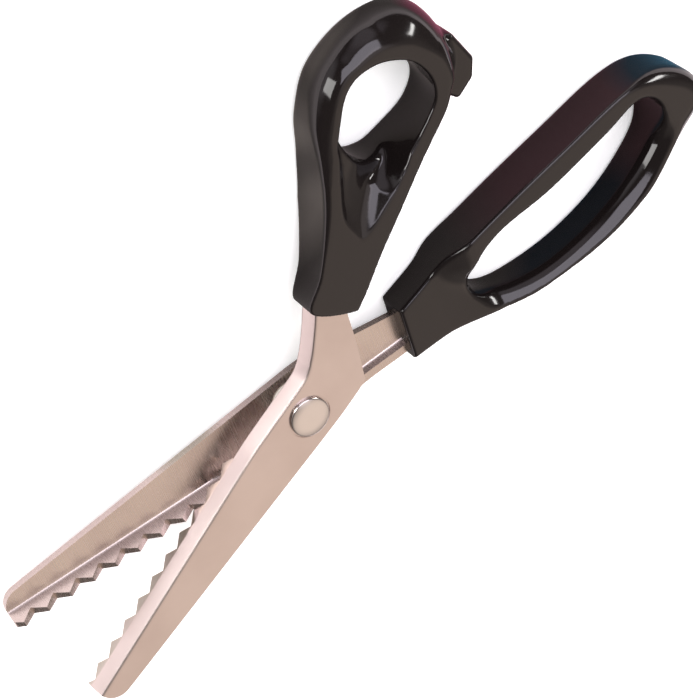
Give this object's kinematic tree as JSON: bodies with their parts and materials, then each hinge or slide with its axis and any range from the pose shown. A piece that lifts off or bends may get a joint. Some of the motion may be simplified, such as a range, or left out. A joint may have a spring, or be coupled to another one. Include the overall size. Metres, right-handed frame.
{
  "type": "pinking shears",
  "caption": "Pinking shears with two flanged zigzag-toothed blades on a screw pivot and moulded finger and thumb handles.",
  "frame": {"origin": "on the pivot axis, on the flat plane under the handles and the pivot nut", "axes": "+X along the lower blade's tooth line to its tip, +Y towards the lower blade's cutting side, +Z to the front, along the pivot axis"},
  "size_m": [0.2301, 0.1369, 0.0164],
  "materials": {
    "blade_steel": "satin stainless steel with ground teeth",
    "handle_plastic": "glossy black moulded plastic",
    "pivot_steel": "polished steel",
    "washer_plastic": "natural nylon"
  },
  "bodies": {
    "lower_member": {"lower_blade": "blade_steel", "finger_handle": "handle_plastic", "pivot_screw": "pivot_steel", "pivot_bush": "pivot_steel", "friction_washers": "washer_plastic", "lock_washer": "pivot_steel", "pivot_nut": "pivot_steel"},
    "upper_member": {"upper_blade": "blade_steel", "thumb_handle": "handle_plastic"}
  },
  "joints": [
    {"name": "pivot", "type": "hinge", "parent": "lower_member", "child": "upper_member", "pos_m": [0, 0, 0.0084], "axis": [0, 0, 1], "range_deg": [-19, 15]}
  ]
}
